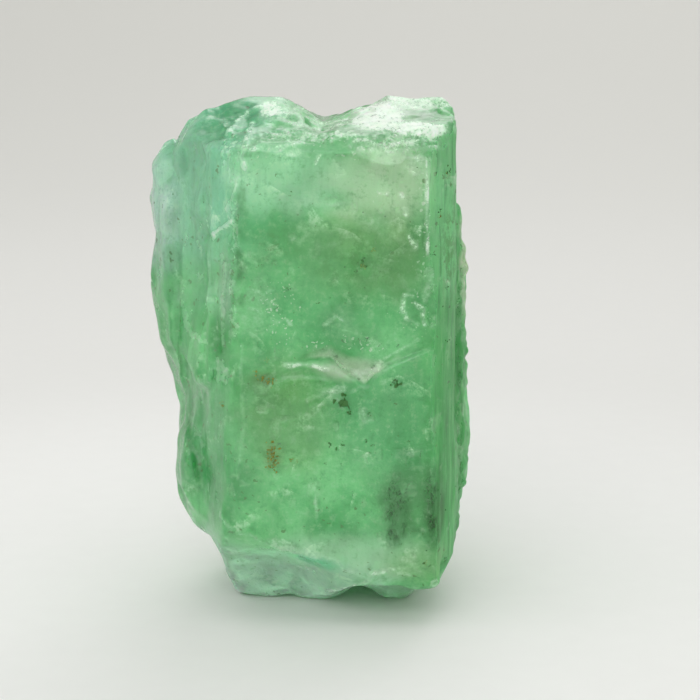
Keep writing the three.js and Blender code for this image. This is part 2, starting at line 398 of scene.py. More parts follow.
# %% Averaging with the neighbours
links = np.empty(len(stone.data.edges) * 2, dtype=np.int64)
stone.data.edges.foreach_get("vertices", links)
links = links.reshape(-1, 2)


def relax(points, share, rounds):
    """Moves each point towards the mean of its neighbours, by its share, for some rounds."""
    ends = np.concatenate((links[:, 0], links[:, 1]))
    others = np.concatenate((links[:, 1], links[:, 0]))
    count = np.bincount(ends, minlength=len(points))[:, None]
    for _ in range(rounds):
        mean = np.stack([np.bincount(ends, points[others, axis], len(points))
                         for axis in range(3)], axis=1) / count
        points = points + (mean - points) * share[:, None]
    return points


on_left = ramp(-skin[:, 0] / (WIDTH / 2), 0.5, 0.64) * ramp(skin[:, 1], -3.4, -2.4)
off_base = ramp(skin[:, 2], 0.02, 0.25)
low_front = ramp(skin[:, 2], 2.6, 1.4) * ramp(skin[:, 1], 3.0, 1.0)
skin = relax(skin, np.full(len(skin), 0.5), 3)
skin = relax(skin, 0.6 * np.maximum(on_left, 0.6 * low_front) * off_base, 14)
put_points(stone.data, skin)
facing = facings_of(stone.data)
print("worn smooth on", round(float(on_left.mean()) * 100), "% of the skin")

# %% [markdown]
# ### Swellings and the ledge
#
# Smoothing shrinks what it touches, so the places that lost most are swollen again, and two
# that kept too much are drawn in.
#
# Half way up the broad face an old flake came off. Its lower end is a lip with a slanted
# shelf on it that catches the light. The lip is a line from left to right, and the shelf is
# cut back above it, deepest where it is tallest.

# %% Swellings
SWELLINGS = [
    ("shoulder of the upper left growth", (-0.94, 0.1, 0.88), (0.8, 1.8, 0.8), 0.36),
    ("right side, low down", (0.95, 0.0, 0.24), (0.9, 2.0, 2.4), 0.17),
    ("hollow of the left side", (-0.8, -0.1, 0.43), (0.9, 1.6, 1.1), -0.2),
    ("facet of the upper left growth", (-0.47, -0.28, 0.965), (0.9, 1.4, 0.7), -0.22),
]
for name, place, reach, height in SWELLINGS:
    skin = skin + facing * (zone(skin, place, reach) * height)[:, None]
    print(name, "moved by", height, "mm")

# %% The ledge
LIP_ACROSS = (-0.34, -0.07, 0.03, 0.15, 0.27, 0.35, 0.47, 0.79)
LIP_UP = (0.505, 0.519, 0.536, 0.534, 0.5, 0.49, 0.519, 0.561)
SHELF_TALL = (0.08, 0.1, 0.26, 0.42, 0.62, 0.66, 0.24, 0.08)
SHELF_DEEP = 0.45
across = skin[:, 0] / (WIDTH / 2)
above_lip = skin[:, 2] - np.interp(across, LIP_ACROSS, LIP_UP) * HEIGHT
above_lip += 0.05 * wander(skin, 0.35, 15)
tall = np.interp(across, LIP_ACROSS, SHELF_TALL)
on_face = ramp(-skin[:, 1], 3.2, 3.6) * ramp(across, -0.36, -0.25) * ramp(across, 0.84, 0.74)
cut = np.clip(1 - above_lip / tall, 0, 1) * ramp(above_lip, -0.07, 0.02)
skin[:, 1] += SHELF_DEEP * tall * cut * on_face
shelf = cut * on_face * ramp(tall, 0.15, 0.4)
put_points(stone.data, skin)
facing = facings_of(stone.data)
print("the ledge is up to", round(SHELF_DEEP * max(SHELF_TALL), 2), "mm deep")

# %% [markdown]
# ### Growth
#
# A prism of beryl is never quite flat. Broad low hills cross its faces, the hills rise in
# steps, and fine lines run along its sides in the direction in which it grew.

# %% Hills, steps and lines
on_front = ramp(-facing[:, 1], 0.8, 0.97)
on_side = ramp(np.abs(facing[:, 0]), 0.45, 0.85) * (1 - on_left)
on_top = ramp(skin[:, 2], 0.93 * HEIGHT, 0.97 * HEIGHT) * ramp(facing[:, 2], 0.3, 0.7)

hills = 0.05 * wander(skin, (2.2, 2.2, 3.4), 1) + 0.02 * wander(skin, 0.7, 2)
steps = np.floor(wander(skin, (1.5, 1.5, 2.1), 3) * 5) / 5 * 0.05 * on_front
lines = 0.012 * wander(skin, (0.16, 0.16, 4.5), 4) * np.maximum(on_side, 0.05)
melted = np.maximum(on_left, ramp(skin[:, 2], 1.9, 1.0))
folds = (0.15 * wander(skin, (0.95, 0.95, 2.2), 6) + 0.05 * wander(skin, 0.5, 7)) * melted
ripples = 0.05 * wander(skin, (0.8, 0.25, 0.5), 8) * on_top
move = (hills + steps + lines + folds + ripples) * off_base
skin = skin + facing * move[:, None]
print("growth moved the skin by up to", round(np.abs(move).max(), 3), "mm")

# %% [markdown]
# ### Sugary breaks
#
# Along the upper edge the stone crumbled into tiny crystals that glitter like sugar. Each
# grain is one small tilted facet, and some are painted white: painted glints where a facet
# would catch the light. The points near a grain's middle belong to it, and all of them are
# laid on its own tilted plane.

# %% Sugary zones
rng = np.random.default_rng(7)
COARSE_ZONES = [
    ((-0.02, -0.2, 0.965), (1.6, 2.2, 0.6), 0.45, 0.03),
    ((0.4, 0.1, 0.985), (2.2, 2.6, 0.6), 0.6, 0.03),
    ((0.0, 1.0, 0.5), (5.0, 1.4, 7.0), 0.8, 0.03),
]
COARSE_STEEPNESS = 0.11
FINE_STEEPNESS = 0.25
SUGAR_ZONES = [
    ((0.52, -0.88, 0.935), (1.5, 0.8, 0.36), 0.12, 0.03, 0.9),
    ((-0.02, -0.8, 0.95), (1.5, 0.9, 0.3), 0.13, 0.03, 0.7),
    ((-0.22, -0.45, 0.985), (0.4, 1.7, 0.4), 0.13, 0.035, 1.0),
    ((-0.44, -0.66, 0.925), (0.24, 0.8, 0.65), 0.12, 0.03, 0.9),
    ((0.82, -0.2, 1.0), (0.6, 1.3, 0.5), 0.2, 0.04, 0.7),
    ((-0.41, -0.92, 0.72), (0.2, 0.5, 2.6), 0.1, 0.02, 0.4),
    ((-0.5, -0.8, 0.5), (0.45, 0.7, 0.35), 0.14, 0.035, 0.7),
    ((0.97, -0.1, 0.5), (0.3, 1.6, 7.0), 0.3, 0.02, 0.3),
]


def sugar(points, facing, place, reach, grain, height, steepness):
    """Breaks a zone up into grains: where its points go, and how white they are."""
    reach = np.array(reach)
    count = int(8 * np.prod(reach) / grain ** 3)
    middles = at(*place) + rng.uniform(-1.3, 1.3, (count, 3)) * reach
    tilts = rng.normal(0, steepness, (count, 3))
    lifts = rng.uniform(-1, 0.4, count) * height
    # Painted glints: how white each grain is painted.
    whites = rng.uniform(0, 1, count) ** 3
    finder = kdtree.KDTree(count)
    for number, middle in enumerate(middles):
        finder.insert(middle, number)
    finder.balance()
    share = zone(points, place, reach)
    white = np.zeros(len(points))
    move = np.zeros(len(points))
    for number in np.flatnonzero(share > 0.01):
        middle, grain_number, _ = finder.find(points[number])
        slope = tilts[grain_number] @ (points[number] - middle)
        move[number] = (lifts[grain_number] + slope) * share[number]
        white[number] = whites[grain_number] * share[number]
    return points + facing * move[:, None], white


put_points(stone.data, skin)
facing = facings_of(stone.data)
for place, reach, grain, height in COARSE_ZONES:
    skin, _ = sugar(skin, facing, place, reach, grain, height, COARSE_STEEPNESS)
skin = relax(skin, np.full(len(skin), 0.5), 3)
put_points(stone.data, skin)
facing = facings_of(stone.data)
for place, reach, grain, height, whiteness in SUGAR_ZONES:
    skin, white = sugar(skin, facing, place, reach, grain, height, FINE_STEEPNESS)
    frost_and_highlight = np.maximum(frost_and_highlight, white * whiteness)
print("sugary points:", int((frost_and_highlight > 0.3).sum()))

# %% [markdown]
# ### Flakes along the edges
#
# Beryl breaks like glass, so every knock takes off a shell-shaped flake. A flake is bitten
# out by a ball that stands mostly outside the stone: the points that it holds are pushed
# out of it, onto its surface. The balls are strewn along all sharp edges of the block, but
# the old shelf half way up keeps its clean lip. The growth behind the right flank was
# rounded by the fluid that it grew in, so its breaks are softened at the end.

# %% Bites
def bite(points, middle, radius, depth):
    """Pushes the points inside a ball out of it, and says which moved.

    A ball that reaches much deeper than `depth` stands in a corner, so it bites nothing."""
    near = np.flatnonzero((np.abs(points - middle) < radius).all(1))
    arm = points[near] - middle
    away = np.linalg.norm(arm, axis=1)
    held = away < radius
    if not held.any() or radius - away.min() > depth * 1.7:
        return near[:0]
    near = near[held]
    points[near] = middle + arm[held] / away[held, None] * radius
    return near


def sharp_edges(shape, least_angle):
    """The ends, the outward way and the length of each edge that stands out sharply."""
    found = []
    for edge in shape.edges:
        if not edge.is_manifold or not edge.is_convex:
            continue
        if edge.calc_face_angle() < least_angle:
            continue
        ends = [np.array(vertex.co) for vertex in edge.verts]
        outward = sum((face.normal for face in edge.link_faces), Vector()).normalized()
        found.append((ends[0], ends[1], np.array(outward), edge.calc_length()))
    return found


edges = sharp_edges(block, math.radians(30))
FLAKES_PER_MM = 1.8
UNTOUCHED_BASE = 0.4
SOFT_SIDE = ((0.97, -0.1, 0.5), (0.45, 1.8, 7.0))
flakes = 0
for start, end, outward, length in edges:
    for _ in range(rng.poisson(length * FLAKES_PER_MM)):
        spot = start + (end - start) * rng.uniform()
        radius = rng.uniform(0.4, 2.4)
        depth = rng.uniform(0.01, 0.07)
        way = outward + rng.normal(0, 0.28, 3)
        way = way / np.linalg.norm(way)
        whiteness = rng.uniform(0.0, 0.7) ** 2
        on_shelf = spot[1] < -0.6 * DEPTH / 2 and 0.42 < spot[2] / HEIGHT < 0.62
        if spot[2] < UNTOUCHED_BASE or on_shelf:
            continue
        moved = bite(skin, spot + way * (radius - depth), radius, depth)
        smooth_side = spot[0] < -0.5 * WIDTH / 2
        frost_and_highlight[moved] = np.maximum(frost_and_highlight[moved], whiteness * (0.2 if smooth_side else 1))
        flakes += len(moved) > 0
skin = relax(skin, 0.7 * zone(skin, *SOFT_SIDE), 8)
print(len(edges), "sharp edges took", flakes, "flakes")

# %% [markdown]
# ### Crests
#
# Some edges of old facets did not crumble. They stand as thin crests, and light that runs
# up inside the stone leaves it there, so they are painted paler than the rest: a painted
# highlight. Each is a path over the front, given by `across` and `up`. Grooves are made the
# same way, pressed in.

# %% Thin pale crests and grooves
CRESTS = [
    # Beside the upper left growth: its rim and the corner of the broad face.
    ([(-0.45, 0.94), (-0.4, 0.96), (-0.35, 0.97), (-0.3, 0.98)], 0.15, 0.05, 0.9),
    ([(-0.32, 0.95), (-0.33, 0.93), (-0.35, 0.91), (-0.33, 0.89)], 0.13, 0.05, 1.0),
    # The upper edge, left and right, with a crack and a nick under it.
    ([(-0.3, 0.925), (-0.23, 0.925), (-0.08, 0.93), (0.04, 0.94), (0.15, 0.94)],
     0.12, 0.03, 0.7),
    ([(0.15, 0.94), (0.24, 0.95), (0.33, 0.94), (0.43, 0.93), (0.69, 0.935)], 0.13, 0.03, 1.0),
    ([(0.24, 0.95), (0.28, 0.92)], 0.08, 0.02, 0.9),
    ([(0.07, 0.9), (0.1, 0.915)], 0.09, 0.02, 1.0),
    # Left of the broad face a slanted edge, a seam and a line; then its right edge.
    ([(-0.56, 0.75), (-0.49, 0.77), (-0.41, 0.79)], 0.1, 0.05, 1.0),
    ([(-0.37, 0.87), (-0.41, 0.83), (-0.45, 0.81)], 0.09, 0.03, 0.6),
    ([(-0.46, 0.71), (-0.48, 0.62), (-0.48, 0.55)], 0.08, 0.02, 0.4),
    ([(0.7, 0.91), (0.71, 0.73)], 0.07, 0.03, 1.0),
    # The lip of the ledge, left and right, and a curve on the left growth.
    ([(-0.11, 0.52), (-0.03, 0.522), (0.05, 0.52), (0.13, 0.512)], 0.12, 0.03, 1.0),
    ([(0.4, 0.51), (0.5, 0.54), (0.66, 0.57)], 0.07, 0.02, 0.5),
    ([(-0.75, 0.64), (-0.77, 0.61), (-0.71, 0.55), (-0.6, 0.55)], 0.14, 0.03, 0.4),
    # The lower edge of the broad face, a line above it, and its left edge low down.
    ([(-0.5, 0.22), (-0.42, 0.19), (-0.33, 0.19), (-0.15, 0.16)], 0.12, 0.02, 0.35),
    ([(-0.15, 0.16), (0.02, 0.15), (0.18, 0.14), (0.24, 0.12), (0.38, 0.1)], 0.12, 0.02, 0.4),
    ([(0.06, 0.29), (0.07, 0.22)], 0.07, 0.01, 0.4),
    ([(-0.36, 0.56), (-0.37, 0.5), (-0.36, 0.4), (-0.4, 0.3)], 0.08, 0.02, 0.25),
    # The two halves of the loop on the right.
    ([(0.63, 0.655), (0.58, 0.655), (0.565, 0.63), (0.6, 0.61), (0.66, 0.6)],
     0.09, 0.03, 0.8),
    ([(0.64, 0.64), (0.69, 0.63), (0.7, 0.6)], 0.09, 0.03, 0.8),
    # Streaks on the left half, from the upper to the lower, and in the middle.
    ([(-0.32, 0.665), (-0.25, 0.66)], 0.09, 0.02, 0.5),
    ([(-0.31, 0.63), (-0.25, 0.622)], 0.09, 0.02, 0.5),
    ([(-0.29, 0.59), (-0.23, 0.585)], 0.09, 0.02, 0.6),
    ([(-0.17, 0.6), (-0.11, 0.61), (-0.08, 0.6)], 0.08, 0.02, 0.5),
    ([(0.13, 0.6), (0.19, 0.615), (0.25, 0.6)], 0.1, 0.02, 0.6),
    # Streaks under the ledge.
    ([(0.02, 0.455), (0.12, 0.47), (0.23, 0.477)], 0.12, 0.02, 0.5),
    ([(0.08, 0.445), (0.2, 0.457)], 0.09, 0.02, 0.4),
    # High on the face: a soft band, a curl and three glints down the right.
    ([(0.02, 0.835), (0.2, 0.815), (0.4, 0.785), (0.62, 0.74)], 0.34, 0.03, 0.2),
    ([(0.43, 0.845), (0.48, 0.843)], 0.08, 0.02, 0.9),
    ([(0.56, 0.843), (0.565, 0.838)], 0.12, 0.02, 1.2),
    ([(0.58, 0.815), (0.59, 0.805)], 0.12, 0.02, 1.0),
    ([(0.61, 0.765), (0.64, 0.745)], 0.13, 0.02, 0.8),
    # Underneath.
    ([(0.13, 0.04), (0.38, 0.095)], 0.12, 0.03, 1.0),
    ([(0.39, 0.11), (0.52, 0.12)], 0.12, 0.02, 0.9),
]


def near_path(points, path, width):
    """1 on a path over the front of the stone, sinking to 0 at `width` from it."""
    flat = points[:, [0, 2]]
    away = np.full(len(points), 9.0)
    for first, last in zip(path, path[1:]):
        start = at(first[0], 0, first[1])[[0, 2]]
        along = at(last[0], 0, last[1])[[0, 2]] - start
        share = np.clip((flat - start) @ along / (along @ along), 0, 1)
        away = np.minimum(away, np.linalg.norm(flat - start - share[:, None] * along, axis=1))
    away = away + 0.04 * wander(points, 0.22, 41)
    return ramp(away, width, 0.02) * ramp(points[:, 1], 1.0, -0.2)


GROOVES = [
    # Between the left growth and the facet beside it, and under the slanted edge there.
    ([(-0.6, 0.92), (-0.62, 0.85), (-0.6, 0.75)], 0.3, -0.14),
    ([(-0.58, 0.74), (-0.5, 0.755), (-0.42, 0.775)], 0.18, -0.06),
    # Beside the grey line, and beside the lower left growth.
    ([(-0.53, 0.7), (-0.54, 0.6), (-0.52, 0.54)], 0.22, -0.08),
    ([(-0.6, 0.61), (-0.605, 0.56), (-0.61, 0.49)], 0.18, -0.08),
    # Under the lip of the ledge.
    ([(-0.2, 0.495), (-0.05, 0.508), (0.1, 0.505), (0.25, 0.48), (0.36, 0.49)],
     0.25, -0.06),
]
# Painted highlight: the crests are painted paler, in broken patches that this noise gives.
patchy_highlight = 0.35 + 0.65 * ramp(wander(skin, 0.14, 43), -0.35, 0.25)
for path, width, height, whiteness in CRESTS:
    crest = near_path(skin, path, width)
    skin = skin + facing * (crest * height)[:, None]
    frost_and_highlight = np.maximum(frost_and_highlight, crest * whiteness * patchy_highlight * 0.85)
for path, width, height in GROOVES:
    skin = skin + facing * (near_path(skin, path, width) * height)[:, None]
print(len(CRESTS), "crests and", len(GROOVES), "grooves")

# %% [markdown]
# ### Etch pits
#
# Weather and the warm water in which it grew ate small shallow pits into the faces. They
# have no rule, so they are the peaks of a fine noise, pressed in.

# %% Pits on the faces
PIT_DEPTH = 0.035
pitted = ramp(wander(skin, 0.26, 12), 0.42, 0.6) * ramp(wander(skin, 1.1, 13), -0.1, 0.4)
skin = skin - facing * (pitted * off_base * PIT_DEPTH)[:, None]
frost_and_highlight = np.maximum(frost_and_highlight, pitted * 0.2)
print("the pits cover", round(float((pitted > 0.3).mean()) * 100, 1), "% of the skin")

# %% [markdown]
# ### White patches
#
# Where the upper end broke, the fresh surface is so full of tiny cracks that it is white.
# The shelf of the ledge is a smoother white, partly its own pale colour and partly a painted
# highlight of the light that it catches.

# %% White patches
WHITE_PATCHES = [
    ((0.42, -0.35, 0.975), (0.85, 2.4, 0.6), 1.25),
    ((0.68, -0.7, 0.955), (0.7, 0.8, 0.3), 1.25),
    ((0.7, 0.0, 0.99), (1.1, 1.2, 0.5), 0.9),
    ((-0.22, -0.05, 0.985), (0.34, 0.9, 0.5), 1.2),
    ((0.08, -0.1, 0.96), (1.6, 2.6, 0.6), 0.65),
    ((-0.05, -0.75, 0.945), (1.3, 0.8, 0.35), 0.55),
    ((0.45, -0.9, 0.93), (1.3, 0.6, 0.35), 0.48),
    ((0.65, -1.0, 0.895), (0.32, 0.4, 0.32), 0.55),
    ((-0.27, -0.96, 0.62), (0.45, 0.5, 0.9), 0.2),
    ((-0.5, -0.8, 0.5), (0.45, 0.7, 0.3), 0.22),
    ((0.21, -0.96, 0.6), (0.45, 0.4, 0.4), 0.2),
    ((0.14, -0.96, 0.465), (0.45, 0.4, 0.2), 0.2),
]
ragged = 0.55 + 0.45 * ramp(wander(skin, 0.3, 44), -0.4, 0.2)
for place, reach, whiteness in WHITE_PATCHES:
    whole = 1 if whiteness > 1 else ragged
    frost_and_highlight = np.maximum(frost_and_highlight, zone(skin, place, reach, 0.3) * whiteness * whole)
# Partly painted highlight: the shelf is whitened where it faces the light.
frost_and_highlight = np.maximum(frost_and_highlight, shelf * 0.45)
print("white on", round(float((frost_and_highlight > 0.4).mean()) * 100, 1), "% of the skin")

# %% [markdown]
# ### The underside
#
# The lowest lobes are rounded towards their flat undersides, with hollows between them.

# %% Rounded lobes
BASE_MIDDLE = np.array((0.4, 0.7))
LOBE_HEIGHT = 1.3
low_down = np.clip(1 - skin[:, 2] / LOBE_HEIGHT, 0, 1) ** 2
pull = low_down * (0.1 + 0.06 * wander(skin * (1, 1, 0.3), 0.9, 9))
skin[:, :2] += (BASE_MIDDLE - skin[:, :2]) * pull[:, None]
NOTCHES = [(1.55, 0.55, 0.34), (3.75, 0.4, 0.3), (-0.6, 0.35, 0.15), (-2.9, 0.5, 0.3)]
near_front = ramp(skin[:, 1], 1.0, -0.6) * ramp(skin[:, 2], 1.4, 0.0)
for middle, width, height in NOTCHES:
    arch = np.exp(-((skin[:, 0] - middle) / width) ** 2)
    skin[:, 2] += height * arch * near_front
print("the lobes are drawn in by up to", round(float(pull.max()) * 100), "%")

# %% Without spikes
on_peak = ramp(skin[:, 2], 0.965 * HEIGHT, 0.985 * HEIGHT)
middles = relax(skin, np.ones(len(skin)), 1)
spiky = ramp(np.linalg.norm(middles - skin, axis=1), 0.015, 0.03)
skin = relax(skin, np.max([spiky * 0.7, on_peak * 0.6, melted * off_base * 0.5], axis=0), 8)
print("spikes taken off:", int((spiky > 0.5).sum()))

# %% The finished mesh
MOST_TRIANGLES = 192000
SHARP_FROM = math.radians(32)
put_points(stone.data, skin)


def store(name, values):
    """Keeps one number for each point of the stone."""
    layer = stone.data.attributes.new(name, "FLOAT", "POINT")
    layer.data.foreach_set("value", values.astype(np.float32))


store("frost_and_highlight", frost_and_highlight)
store("shelf", shelf)
triangles = 2 * len(stone.data.polygons)
keep_modifier(stone, "DECIMATE", ratio=min(1, MOST_TRIANGLES / triangles))
skin = points_of(stone.data)
put_points(stone.data, skin / ENLARGED)
stone.data.polygons.foreach_set("use_smooth", [True] * len(stone.data.polygons))
stone.data.set_sharp_from_angle(angle=SHARP_FROM)
print("the stone has", len(stone.data.polygons), "triangles, from", triangles)

# %% [markdown]
# ## Colour zones
#
# Most of the colour is uneven because the water that fed the crystal changed as it grew. Each
# zone that can be pointed at on the real stone has a place, a reach and a paint. Four zones are
# painted light and shade instead: the bright upper facet is a painted highlight, the pale
# underside and the pale left growth carry a painted glow of light coming through them, and the
# deeper right flank is painted shade. The shelf of the ledge is partly a painted highlight too.
# The zones are soft and wide, so they are worked out once for each point of the mesh and
# stored there as a colour attribute, which the renderer only has to look up.

# %% Painting the points
COLOUR_ZONES = [
    ("left and upper left, teal", (-0.75, -0.2, 0.9), (2.9, 4.0, 3.6), 0.85, (176, 246, 216)),
    ("facet left of the broad face", (-0.5, -0.75, 0.86), (0.6, 1.2, 1.3), 0.6, (140, 228, 190)),
    ("under the upper edge, pale", (-0.1, -1.0, 0.87), (2.1, 1.5, 1.0), 0.8, (196, 255, 212)),
    ("upper right, pale", (0.5, -1.0, 0.86), (1.6, 1.5, 1.2), 0.85, (222, 254, 214)),
    ("right of the middle, brownish", (0.36, -1.0, 0.73), (2.2, 1.4, 1.2), 0.6, (138, 182, 104)),
    ("left of the middle, deep", (-0.02, -1.0, 0.67), (1.7, 1.5, 1.5), 0.45, (92, 196, 122)),
    ("under the ledge, yellowish", (-0.1, -1.0, 0.42), (1.5, 1.2, 1.6), 0.7, (128, 188, 104)),
    ("left of the broad face, deep", (-0.5, -0.8, 0.56), (0.42, 1.1, 1.0), 0.85, (44, 156, 74)),
    ("crumbs on the left", (-0.51, -0.8, 0.5), (0.5, 0.8, 0.35), 0.6, (104, 208, 130)),
    ("lower right, deep", (0.5, -1.0, 0.42), (1.9, 1.4, 1.6), 0.6, (84, 176, 110)),
    ("lower edge, pale", (0.25, -0.9, 0.145), (2.6, 1.5, 0.7), 0.85, (206, 255, 214)),
    # Painted shade: the right flank, turned away from the front light, is painted a deeper green.
    ("right flank, deeper with painted shade", (0.86, -0.75, 0.5), (0.9, 1.6, 9.0), 0.85, (58, 178, 80)),
    ("top of the right flank", (0.85, -0.8, 0.84), (0.9, 1.6, 3.4), 0.8, (142, 230, 160)),
    ("left side, low", (-0.6, -0.7, 0.33), (1.4, 2.0, 2.4), 0.65, (72, 162, 98)),
    ("facet of the upper left growth", (-0.45, -0.15, 0.97), (1.0, 2.2, 0.9), 0.95, (64, 196, 136)),
    # Partly painted glow: the left growth is painted pale where light shines through it.
    ("left growth, pale with painted glow", (-0.92, 0.0, 0.77), (0.8, 1.8, 1.6), 0.95, (216, 255, 240)),
    ("rust stain", (-0.19, -0.96, 0.345), (0.2, 0.5, 0.34), 0.75, (136, 150, 60)),
    ("brown stain", (-0.24, -0.96, 0.495), (0.36, 0.5, 0.18), 0.7, (92, 142, 56)),
    ("heart of the brown cloud", (0.33, -1.0, 0.715), (0.55, 0.8, 0.4), 0.6, (60, 166, 70)),
    ("haze round the smoke", (0.64, -0.97, 0.25), (1.0, 1.4, 1.1), 0.5, (66, 150, 72)),
    ("lower right corner, drab", (0.66, -0.9, 0.13), (1.0, 0.9, 0.6), 0.6, (140, 196, 124)),
    ("behind the right flank, deep", (0.92, -0.2, 0.45), (0.5, 1.3, 6.0), 0.75, (50, 160, 70)),
    ("rim of the right side, cream", (1.0, -0.03, 0.7), (0.26, 0.6, 2.0), 0.85, (232, 248, 212)),
    ("pale strip on the left", (-0.55, -0.7, 0.65), (0.4, 0.9, 0.8), 0.5, (184, 246, 200)),
    ("left growth, middle", (-0.8, -0.2, 0.62), (1.0, 1.6, 1.6), 0.28, (150, 232, 170)),
    ("grey line on the left", (-0.46, -0.84, 0.66), (0.22, 0.6, 1.0), 0.6, (160, 196, 172)),
    # Partly painted glow: the underside is painted near white, as if lit from below through the
    # stone.
    ("underside, bluish with painted glow", (-0.2, -0.3, 0.05), (4.4, 3.0, 1.6), 0.95, (228, 255, 246)),
    ("by the lower edge, turquoise", (0.06, -0.85, 0.13), (0.8, 0.8, 0.25), 0.85, (110, 228, 180)),
    # Painted highlight: the upper facet is painted near white where the top light would catch it.
    ("upper facet, painted highlight", (0.42, -0.3, 1.0), (1.5, 2.6, 0.9), 0.85, (236, 254, 236)),
    # Partly painted highlight: the shelf is painted pale where it catches the light.
    ("shelf of the ledge", (0.25, -0.97, 0.515), (0.8, 0.5, 0.3), 0.85, (228, 244, 218)),
]
DEEP_GREEN = (70, 186, 100)
PALE_GREEN = (142, 234, 158)


def paint(tint, share, shade):
    """Blends a paint over the points' colours by its share at each point."""
    return tint + (np.array(colour(*shade)) - tint) * share[:, None]


patches = wander(skin, 2.4, 21) + 0.7 * wander(skin, 0.8, 22) + 0.4 * wander(skin, 0.3, 23)
patches = ramp(patches, -0.7, 0.7)
tint = paint(np.tile(colour(*DEEP_GREEN), (len(skin), 1)), patches, PALE_GREEN)
for name, place, reach, strength, shade in COLOUR_ZONES:
    share = zone(skin, place, reach, 0.55) * strength
    tint = paint(tint, share, shade)
    print(name, "covers", round(float(share.mean()) * 100, 1), "%")
kept = np.empty(len(skin))
stone.data.attributes["shelf"].data.foreach_get("value", kept)
# The shelf is painted paler again: partly its own colour, partly painted highlight.
tint = paint(tint, kept * 0.9, (222, 242, 214))
stone.data.attributes.new("tint", "FLOAT_COLOR", "POINT")
stone.data.attributes["tint"].data.foreach_set("color", tint.astype(np.float32).ravel())
print(len(COLOUR_ZONES), "colour zones on", len(skin), "points")

# %% Where specks, glints and smoke gather
GLINT_ZONES = [
    ((0.63, -1.0, 0.625), (0.75, 1.0, 0.75)),
    ((-0.13, -1.0, 0.62), (0.75, 1.0, 1.1)),
    ((0.67, -1.0, 0.8), (0.3, 0.8, 1.9)),
    ((0.42, -1.0, 0.835), (0.35, 0.8, 0.45)),
    ((0.22, -1.0, 0.56), (1.7, 0.8, 0.35)),
    ((0.1, -0.9, 0.94), (3.4, 1.4, 0.75)),
]
SMOKE_ZONES = [
    ((0.53, -0.97, 0.23), (0.44, 1.4, 1.05)),
    ((0.77, -0.94, 0.235), (0.3, 1.4, 1.05)),
]
BROWN_ZONES = [
    ((0.34, -1.0, 0.725), (1.3, 1.0, 0.75)),
    ((-0.16, -1.0, 0.47), (0.9, 1.0, 0.5)),
    ((-0.17, -1.0, 0.35), (0.6, 1.0, 0.5)),
    ((0.86, -0.7, 0.72), (0.5, 1.0, 1.6)),
    ((-0.18, -1.0, 0.74), (0.5, 0.8, 0.5)),
]
DARK_SEAM_PATH = [(-0.36, 0.85), (-0.37, 0.77), (-0.37, 0.71), (-0.38, 0.64)]


glints = 0.35 * ramp(wander(skin, 1.2, 31), 0.0, 0.6)
store("glint", glints + strongest(skin, GLINT_ZONES, 0.5))
# Darker along a seam on the left of the broad face.
seam = near_path(skin, DARK_SEAM_PATH, 0.3) * ramp(wander(skin, 0.4, 35), -0.3, 0.3)
store("smoke", np.maximum(strongest(skin, SMOKE_ZONES, 0.5), seam * 0.7))
sideways = facings_of(stone.data)[:, 0]
store("lined", 0.15 + 0.85 * ramp(sideways, 0.45, 0.85) + 0.25 * ramp(sideways, -0.3, -0.7))
store("dirt", ramp(wander(skin, 1.5, 32), -0.1, 0.6))
store("brown", strongest(skin, BROWN_ZONES, 0.6))
glassy = np.maximum(zone(skin, (-0.25, -0.3, 0.04), (4.0, 3.4, 1.7)),
                    0.6 * zone(skin, (-0.95, 0.2, 0.6), (1.6, 3.4, 6.0)))
milk = ramp(wander(skin, 1.6, 33) + 0.5 * wander(skin, 0.6, 34), -0.6, 0.7)
pale_top = np.maximum(zone(skin, (0.5, -1.0, 0.86), (1.8, 1.5, 1.3)),
                      0.5 * zone(skin, (-0.1, -1.0, 0.87), (2.1, 1.5, 1.0)))
store("milk", milk - 0.15 * glassy + 0.7 * pale_top)
print("kept for each point:", [layer.name for layer in stone.data.attributes])

# %% [markdown]
# ## The green body
#
# Milky beryl is clear in one place and cloudy in the next. Two shaders are mixed for that.
# The clear one is plain transmission, with a volume behind it that takes out red and blue
# the farther light travels. The milky one scatters light just under its skin. Their numbers
# are the same all over: what changes from place to place is the colour, the roughness, the
# fine relief and how much of each shader shows.

# %% Emerald
emerald, tree, ending = new_material("milky_emerald")
MILLIMETRES = (ENLARGED, ENLARGED, ENLARGED)
spot = Wire.node(tree, "TexCoord", out="Object").stretched(MILLIMETRES)


def stored(name, out="Fac"):
    """What was kept for each point under a name."""
    return Wire.node(tree, "Attribute", {"attribute_name": name}, out=out)


def cloud(wire, scale, detail=2, rough=0.5):
    """Soft noise from 0 to 1."""
    return Wire.node(wire.tree, "TexNoise", None,
                     {"Vector": wire, "Scale": scale, "Detail": detail, "Roughness": rough})


smoke = stored("smoke")
lined = stored("lined")
grit = cloud(spot, 4.2, 6, 0.74)
streaks = cloud(spot.stretched((1, 1, 0.1)), 5.5, 4, 0.6)
tone = stored("tint", "Color")
tone = (grit.above(0.5, 0.68) * (0.38 - lined * 0.28)).blend(tone, colour(204, 248, 204))
tone = ((1 - grit).above(0.5, 0.7) * (0.42 - lined * 0.2)).blend(tone, colour(58, 146, 78))
tone = (streaks.above(0.5, 0.66) * lined * 0.55).blend(tone, colour(136, 214, 140))
tone = ((1 - streaks).above(0.52, 0.68) * lined * 0.5).blend(tone, colour(30, 106, 44))
print("grit and streaks take", len(tree.nodes), "nodes")

# %% [markdown]
# ### Healed cracks
#
# Old cracks closed again and left milky sheets that dive into the stone. Where a sheet meets
# the skin it shows as a crisp pale line, and it fades out on the side where it goes deeper.
# A saw-tooth wave does just that: it jumps up at the line and sinks away from it.

# %% Crack sheets
bend = cloud(spot, 0.4, 1)


